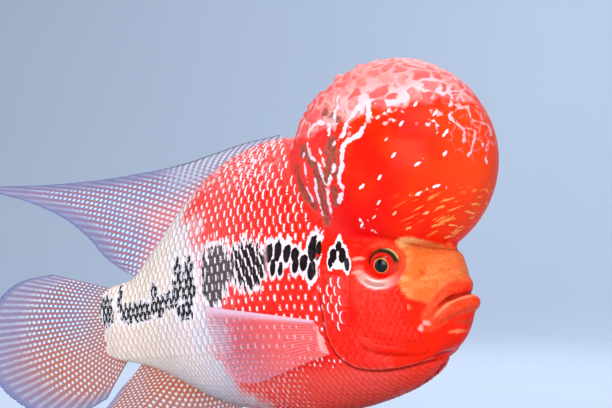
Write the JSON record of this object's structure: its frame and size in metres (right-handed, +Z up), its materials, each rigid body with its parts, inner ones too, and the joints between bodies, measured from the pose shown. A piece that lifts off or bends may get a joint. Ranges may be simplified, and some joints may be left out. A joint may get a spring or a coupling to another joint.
{
  "type": "flowerhorn cichlid display model",
  "caption": "Life-size still model of a deep-bodied red cichlid with a large round forehead hump and trailing fins, held on short rods over a flat base.",
  "frame": {"origin": "centre of the underside of the stand's base", "axes": "+X towards the fish's head along the stand's long side, +Y towards the fish's left, +Z up; the fish is tipped five degrees head up"},
  "size_m": [0.2583, 0.096, 0.1993],
  "materials": {
    "skin_red": "wet, glossy red skin",
    "hump_red": "wet, glossy orange-red skin",
    "lip_red": "wet, smooth lip",
    "flank_red": "scaled skin, red with pearly spots",
    "stalk_pink": "scaled skin, pale pink",
    "eye_wet": "polished, wet",
    "fin_membrane": "thin, translucent, spotted",
    "stand_dark": "polished black sheet",
    "stand_steel": "brushed rod"
  },
  "bodies": {
    "root": {"head": "skin_red", "hump": "hump_red", "lower_jaw": "lip_red", "gill_cover_right": "skin_red", "gill_cover_left": "skin_red", "trunk": "flank_red", "tail_stalk": "stalk_pink", "eye_right": "eye_wet", "eye_left": "eye_wet", "dorsal_fin": "fin_membrane", "caudal_fin": "fin_membrane", "anal_fin": "fin_membrane", "pectoral_fin_right": "fin_membrane", "pectoral_fin_left": "fin_membrane", "pelvic_fin_right": "fin_membrane", "pelvic_fin_left": "fin_membrane", "stand_base": "stand_dark", "stand_rod_front": "stand_steel", "stand_rod_rear": "stand_steel"}
  },
  "joints": []
}
